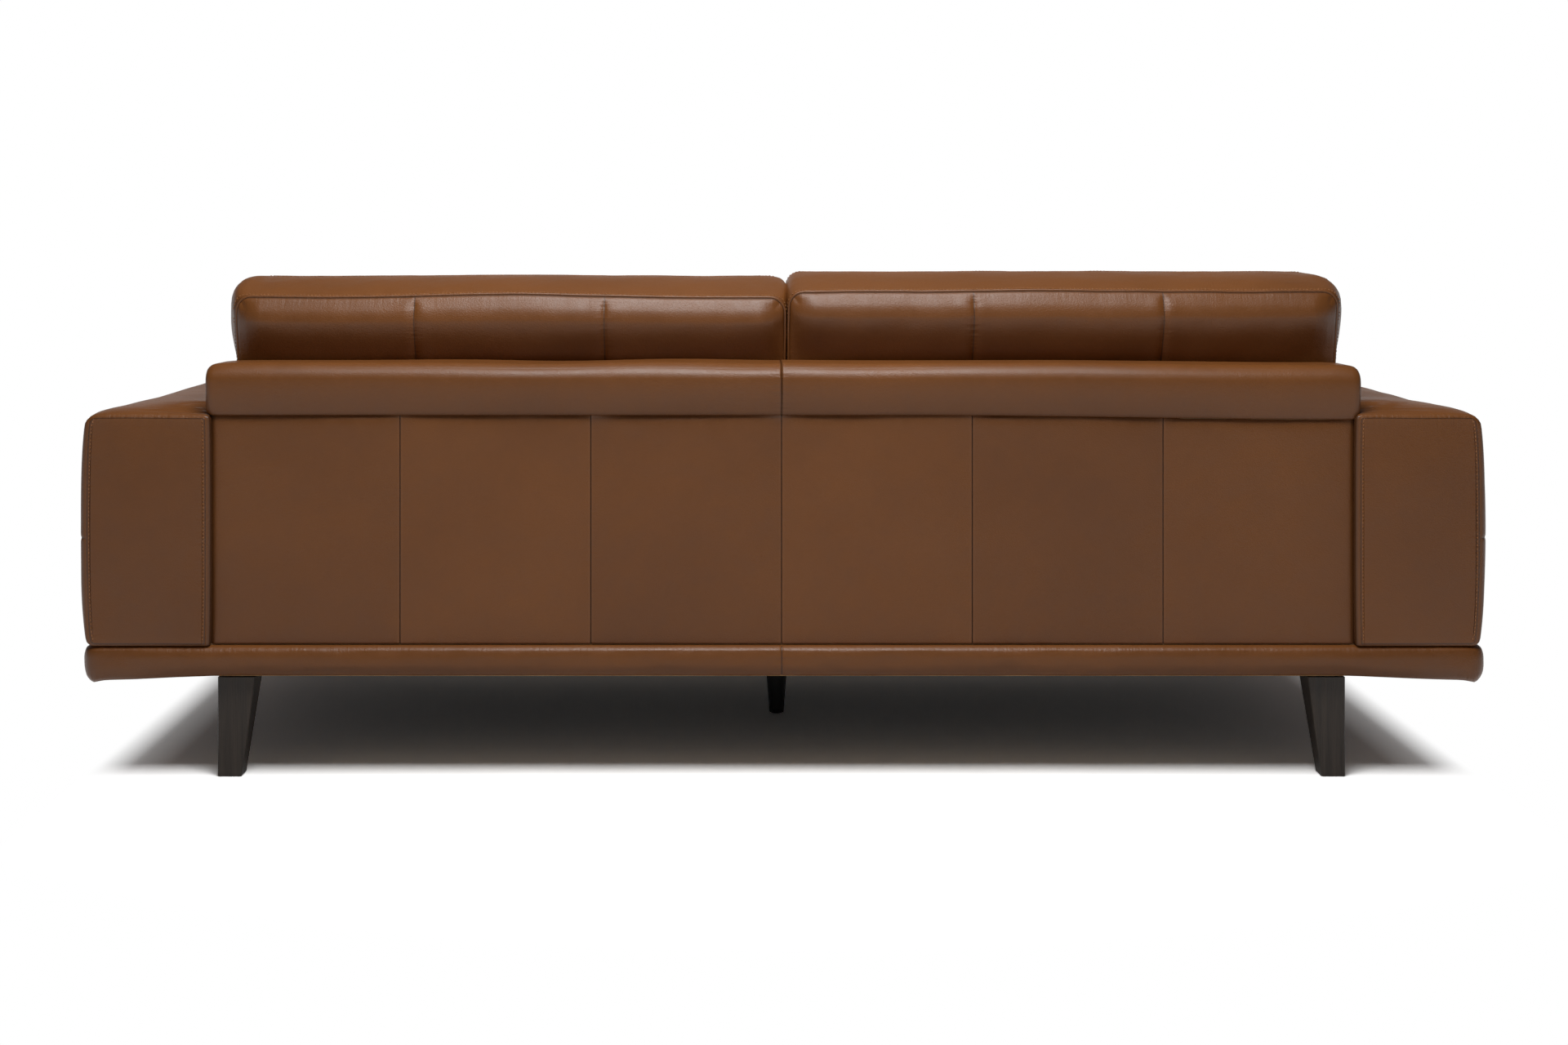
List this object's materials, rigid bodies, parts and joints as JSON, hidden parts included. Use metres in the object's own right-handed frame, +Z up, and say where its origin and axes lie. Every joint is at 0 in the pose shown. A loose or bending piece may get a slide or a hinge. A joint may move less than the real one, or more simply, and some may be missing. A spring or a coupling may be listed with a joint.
{
  "type": "sofa",
  "caption": "Low leather sofa with loose seat and back cushions, padded box arms, a leather-wrapped plinth and tapered dark wooden legs.",
  "frame": {"origin": "on the floor, under the middle of the sofa's width and depth", "axes": "+X towards the sitter's left, +Y towards the back, +Z up"},
  "size_m": [2.2464, 0.98, 0.7959],
  "materials": {
    "leg_wood": "dark stained, satin lacquer, open grain",
    "support_leg": "black stained, satin",
    "glide_plastic": "matte",
    "zinc_steel": "zinc plated",
    "spring_steel": "drawn wire, oiled",
    "frame_timber": "planed softwood and plywood, raw",
    "back_board": "pressed board, raw",
    "foam": "open-cell foam",
    "black_cloth": "non-woven cloth",
    "webbing": "woven elastic",
    "plinth_leather": "semi-aniline, fine pebble grain, satin",
    "arm_leather": "semi-aniline, fine pebble grain, satin",
    "back_leather": "semi-aniline, fine pebble grain, satin",
    "cushion_leather": "semi-aniline, fine pebble grain, satin"
  },
  "bodies": {
    "sofa_frame": {"rear_left_leg": "leg_wood", "rear_right_leg": "leg_wood", "front_left_leg": "leg_wood", "front_right_leg": "leg_wood", "centre_support_leg": "support_leg", "leg_glides": "glide_plastic", "leg_bolts": "zinc_steel", "leg_plates": "zinc_steel", "plate_screws": "zinc_steel", "frame_bolts": "zinc_steel", "spring_clips": "zinc_steel", "seat_springs": "spring_steel", "base_front_rail": "frame_timber", "base_rear_rail": "frame_timber", "base_side_rails": "frame_timber", "base_cross_rails": "frame_timber", "corner_blocks": "frame_timber", "seat_rails": "frame_timber", "back_rails": "frame_timber", "back_posts": "frame_timber", "left_arm_frame": "frame_timber", "right_arm_frame": "frame_timber", "back_outer_board": "back_board", "plinth_foam": "foam", "front_border_foam": "foam", "left_arm_padding": "foam", "right_arm_padding": "foam", "back_inner_foam": "foam", "back_band_foam": "foam", "dust_cover": "black_cloth", "deck_cloth": "black_cloth", "back_webbing": "webbing", "plinth_cover_rear": "plinth_leather", "plinth_cover_front": "plinth_leather", "plinth_cover_left": "plinth_leather", "plinth_cover_right": "plinth_leather", "front_border_cover": "plinth_leather", "left_arm_cover": "arm_leather", "left_arm_rear_facing": "arm_leather", "left_arm_front_facing": "arm_leather", "back_band_left": "back_leather", "right_arm_cover": "arm_leather", "right_arm_rear_facing": "arm_leather", "right_arm_front_facing": "arm_leather", "back_band_right": "back_leather", "back_panel_1": "back_leather", "back_panel_2": "back_leather", "back_panel_3": "back_leather", "back_panel_4": "back_leather", "back_panel_5": "back_leather", "back_panel_6": "back_leather", "back_inner_cover": "back_leather"},
    "left_seat_cushion": {"left_seat_cushion_cover": "cushion_leather", "left_seat_cushion_core": "foam"},
    "left_back_cushion": {"left_back_cushion_cover": "cushion_leather", "left_back_cushion_core": "foam"},
    "right_seat_cushion": {"right_seat_cushion_cover": "cushion_leather", "right_seat_cushion_core": "foam"},
    "right_back_cushion": {"right_back_cushion_cover": "cushion_leather", "right_back_cushion_core": "foam"}
  },
  "joints": [
    {"name": "left_seat_cushion_lift", "type": "slide", "parent": "sofa_frame", "child": "left_seat_cushion", "axis": [0, 0, 1], "range_m": [0, 0.4]},
    {"name": "left_back_cushion_lift", "type": "slide", "parent": "sofa_frame", "child": "left_back_cushion", "axis": [0, 0.1736, 0.9848], "range_m": [0, 0.5]},
    {"name": "right_seat_cushion_lift", "type": "slide", "parent": "sofa_frame", "child": "right_seat_cushion", "axis": [0, 0, 1], "range_m": [0, 0.4]},
    {"name": "right_back_cushion_lift", "type": "slide", "parent": "sofa_frame", "child": "right_back_cushion", "axis": [0, 0.1736, 0.9848], "range_m": [0, 0.5]}
  ]
}
